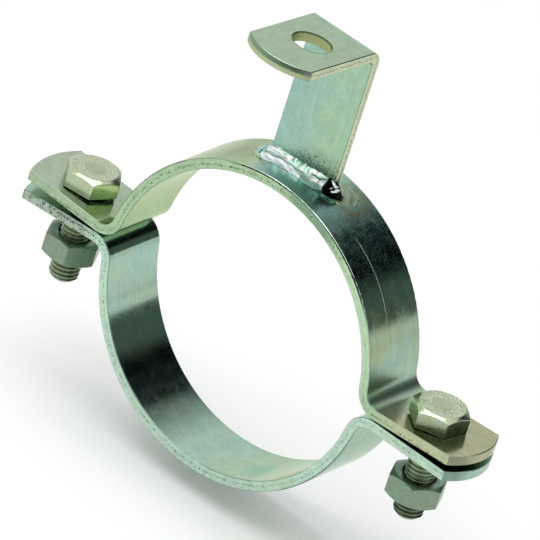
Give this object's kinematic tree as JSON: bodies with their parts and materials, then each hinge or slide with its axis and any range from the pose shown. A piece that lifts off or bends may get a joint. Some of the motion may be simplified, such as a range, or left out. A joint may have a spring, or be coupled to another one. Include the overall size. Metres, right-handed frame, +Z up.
{
  "type": "downpipe clamp",
  "caption": "Two-part pipe clamp of flat steel strip with bolted ears and a welded angle bracket for fixing a round downpipe.",
  "frame": {"origin": "centre of the pipe seat, midway across the bands' width, with the clamp closed", "axes": "+X through the right bolt, +Y along the pipe's axis away from the bracket's plate, +Z up along the bolts towards the bracket"},
  "size_m": [0.182, 0.0534, 0.1617],
  "materials": {
    "plated_strip": "bright zinc plate on rolled steel strip",
    "weld_metal": "bright plated weld metal",
    "plated_bolt": "yellowish zinc plate on a forged bolt",
    "plated_nut": "dull zinc plate on a hexagon nut"
  },
  "bodies": {
    "upper_half": {"upper_band": "plated_strip", "bracket": "plated_strip", "weld_bead": "weld_metal"},
    "lower_half": {"lower_band": "plated_strip"},
    "left_bolt": {"bolt_left": "plated_bolt"},
    "right_bolt": {"bolt_right": "plated_bolt"},
    "left_nut": {"nut_left": "plated_nut"},
    "right_nut": {"nut_right": "plated_nut"}
  },
  "joints": [
    {"name": "lower_half_drop", "type": "slide", "parent": "upper_half", "child": "lower_half", "axis": [0, 0, 1], "range_m": [-0.008, 0]},
    {"name": "left_bolt_turn", "type": "hinge", "parent": "upper_half", "child": "left_bolt", "pos_m": [-0.0725, 0, 0], "axis": [0, 0, 1], "range_deg": [0, 2035]},
    {"name": "right_bolt_turn", "type": "hinge", "parent": "upper_half", "child": "right_bolt", "pos_m": [0.0725, 0, 0], "axis": [0, 0, 1], "range_deg": [0, 1595]},
    {"name": "left_nut_travel", "type": "slide", "parent": "upper_half", "child": "left_nut", "axis": [0, 0, 1], "range_m": [-0.0085, 0]},
    {"name": "right_nut_travel", "type": "slide", "parent": "upper_half", "child": "right_nut", "axis": [0, 0, 1], "range_m": [-0.0067, 0]}
  ],
  "couplings": [
    {"joint": "left_nut_travel", "follows": "left_bolt_turn", "m_per_rad": -0.00023873},
    {"joint": "right_nut_travel", "follows": "right_bolt_turn", "m_per_rad": -0.00023873}
  ]
}
